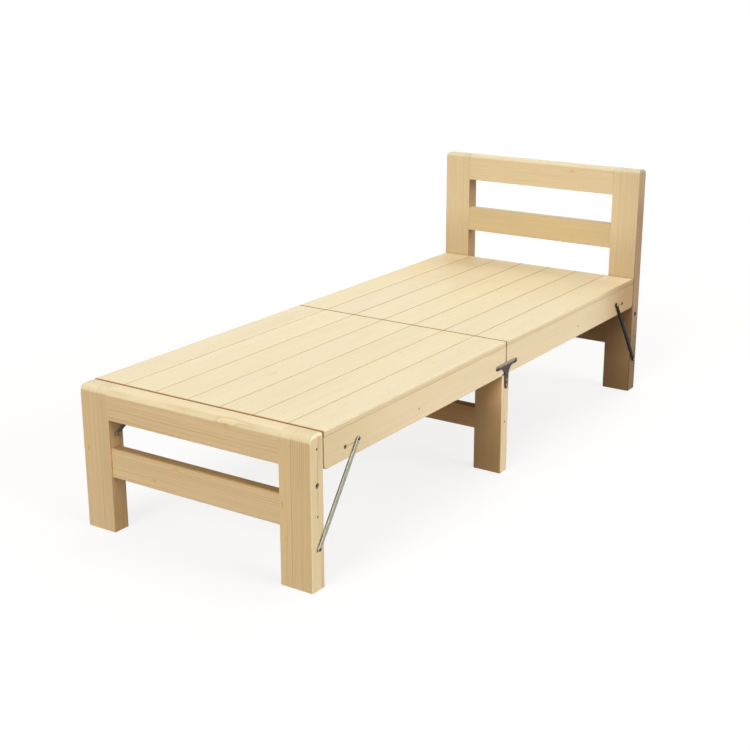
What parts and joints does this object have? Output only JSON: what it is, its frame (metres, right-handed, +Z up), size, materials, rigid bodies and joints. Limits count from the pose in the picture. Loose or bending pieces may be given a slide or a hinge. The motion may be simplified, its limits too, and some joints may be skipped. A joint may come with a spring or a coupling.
{
  "type": "folding bed",
  "caption": "Single pine bed whose slatted deck folds in half over a middle leg frame, with a low foot frame and a headboard frame that turn in under the deck on bolts.",
  "frame": {"origin": "on the floor, under the joint between the two deck halves, midway across the bed", "axes": "+Z up, +Y towards the headboard, +X across the bed to the sleeper's left side"},
  "size_m": [0.7574, 1.899, 0.766],
  "materials": {
    "deck_pine": "pale sanded pine, clear satin lacquer",
    "rail_pine": "pine, clear satin lacquer",
    "frame_pine": "glued pine lamellas, clear satin lacquer",
    "hidden_pine": "planed pine",
    "zinc_steel": "zinc-plated pressed steel",
    "dark_steel": "dark blued steel"
  },
  "bodies": {
    "middle_stand": {"middle_cross_rail": "hidden_pine", "middle_leg_left": "frame_pine", "middle_leg_right": "frame_pine", "t_bracket_left": "dark_steel", "t_bracket_right": "dark_steel"},
    "foot_deck": {"foot_slat_1": "deck_pine", "foot_slat_2": "deck_pine", "foot_slat_3": "deck_pine", "foot_slat_4": "deck_pine", "foot_slat_5": "deck_pine", "foot_slat_6": "deck_pine", "foot_slat_7": "deck_pine", "foot_end_rail": "hidden_pine", "foot_bearer": "hidden_pine", "foot_joint_rail": "hidden_pine", "foot_side_rail_left": "rail_pine", "foot_side_rail_right": "rail_pine", "foot_strap_block_left": "hidden_pine", "foot_strap_block_right": "hidden_pine", "foot_strap_left": "dark_steel", "foot_strap_right": "dark_steel", "foot_strap_bolt_left": "dark_steel", "foot_strap_bolt_right": "dark_steel", "foot_frame_bolt_left": "dark_steel", "foot_frame_bolt_right": "dark_steel"},
    "head_deck": {"head_slat_1": "deck_pine", "head_slat_2": "deck_pine", "head_slat_3": "deck_pine", "head_slat_4": "deck_pine", "head_slat_5": "deck_pine", "head_slat_6": "deck_pine", "head_slat_7": "deck_pine", "head_end_rail": "hidden_pine", "head_bearer": "hidden_pine", "head_joint_rail": "hidden_pine", "head_side_rail_left": "rail_pine", "head_side_rail_right": "rail_pine", "head_strap_block_left": "hidden_pine", "head_strap_block_right": "hidden_pine", "head_strap_left": "dark_steel", "head_strap_right": "dark_steel", "head_strap_bolt_left": "dark_steel", "head_strap_bolt_right": "dark_steel", "head_frame_bolt_left": "dark_steel", "head_frame_bolt_right": "dark_steel"},
    "foot_end_frame": {"foot_post_left": "frame_pine", "foot_post_right": "frame_pine", "foot_top_rail": "frame_pine", "foot_lower_rail": "frame_pine"},
    "head_end_frame": {"head_post_left": "frame_pine", "head_post_right": "frame_pine", "head_crest_rail": "frame_pine", "head_mid_rail": "frame_pine", "head_lower_rail": "frame_pine"},
    "foot_left_stay": {"foot_stay_left": "zinc_steel"},
    "foot_right_stay": {"foot_stay_right": "zinc_steel"},
    "head_left_stay": {"head_stay_left": "dark_steel"},
    "head_right_stay": {"head_stay_right": "dark_steel"}
  },
  "joints": [
    {"name": "stand_fold", "type": "hinge", "parent": "foot_deck", "child": "middle_stand", "pos_m": [0, -0.052, 0.332], "axis": [-1, 0, 0], "range_deg": [0, 86]},
    {"name": "head_half_fold", "type": "hinge", "parent": "middle_stand", "child": "head_deck", "pos_m": [0, 0.052, 0.332], "axis": [-1, 0, 0], "range_deg": [0, 86]},
    {"name": "foot_frame_fold", "type": "hinge", "parent": "foot_deck", "child": "foot_end_frame", "pos_m": [0, -0.9245, 0.272], "axis": [1, 0, 0], "range_deg": [0, 90]},
    {"name": "head_frame_fold", "type": "hinge", "parent": "head_deck", "child": "head_end_frame", "pos_m": [0, 0.9245, 0.272], "axis": [-1, 0, 0], "range_deg": [0, 90]},
    {"name": "foot_left_stay_swing", "type": "hinge", "parent": "foot_deck", "child": "foot_left_stay", "pos_m": [-0.374, -0.7575, 0.341], "axis": [1, 0, 0], "range_deg": [0, 124.5]},
    {"name": "foot_right_stay_swing", "type": "hinge", "parent": "foot_deck", "child": "foot_right_stay", "pos_m": [0.374, -0.7575, 0.341], "axis": [1, 0, 0], "range_deg": [0, 124.5]},
    {"name": "head_left_stay_swing", "type": "hinge", "parent": "head_deck", "child": "head_left_stay", "pos_m": [-0.374, 0.7575, 0.341], "axis": [-1, 0, 0], "range_deg": [0, 124.5]},
    {"name": "head_right_stay_swing", "type": "hinge", "parent": "head_deck", "child": "head_right_stay", "pos_m": [0.374, 0.7575, 0.341], "axis": [-1, 0, 0], "range_deg": [0, 124.5]}
  ]
}
